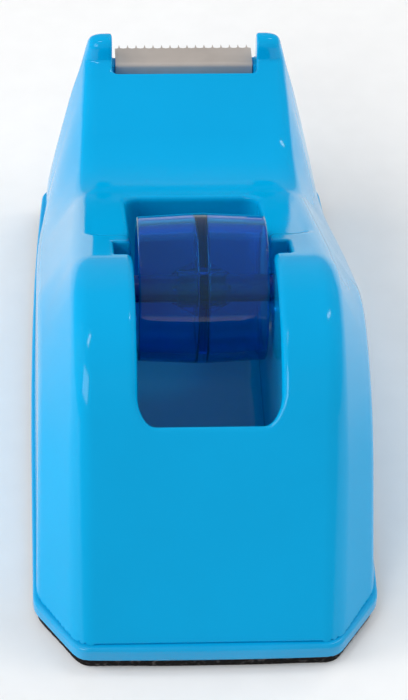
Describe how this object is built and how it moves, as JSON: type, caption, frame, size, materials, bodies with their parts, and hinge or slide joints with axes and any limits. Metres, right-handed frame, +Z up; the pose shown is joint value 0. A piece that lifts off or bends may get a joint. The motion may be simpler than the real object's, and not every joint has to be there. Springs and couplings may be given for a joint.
{
  "type": "tape dispenser",
  "caption": "Desktop tape dispenser: weighted plastic body with a tape well, a toothed cutter between two ears and a lift-out hub for a tape core.",
  "frame": {"origin": "centre of the bounding box at the height of the surface that the foam pad rests on", "axes": "+Y from the rear of the body towards the cutter, +Z up, +X to the right seen from the rear"},
  "size_m": [0.0592, 0.1264, 0.0524],
  "materials": {
    "body_plastic": "glossy moulded ABS, cyan blue",
    "base_plastic": "glossy moulded ABS, cyan blue",
    "foam": "black non-slip foam with fine grey specks",
    "adhesive": "double-sided adhesive sheet",
    "ballast_iron": "rough grey iron",
    "screw_steel": "zinc-plated steel",
    "blade_steel": "rolled stainless steel strip, satin",
    "axle_plastic": "smooth blue acetal",
    "hub_plastic": "clear dark blue polystyrene, polished"
  },
  "bodies": {
    "dispenser": {"body_shell": "body_plastic", "base_plate": "base_plastic", "foam_pad": "foam", "adhesive_sheet": "adhesive", "ballast_weight": "ballast_iron", "base_screws": "screw_steel", "cutter_blade": "blade_steel"},
    "axle": {"hub_axle": "axle_plastic"},
    "hub": {"tape_hub": "hub_plastic"}
  },
  "joints": [
    {"name": "axle_lift", "type": "slide", "parent": "dispenser", "child": "axle", "axis": [0, 0, 1], "range_m": [0, 0.045]},
    {"name": "hub_spin", "type": "hinge", "parent": "axle", "child": "hub", "pos_m": [0, -0.0099, 0.0388], "axis": [1, 0, 0], "continuous": true}
  ]
}
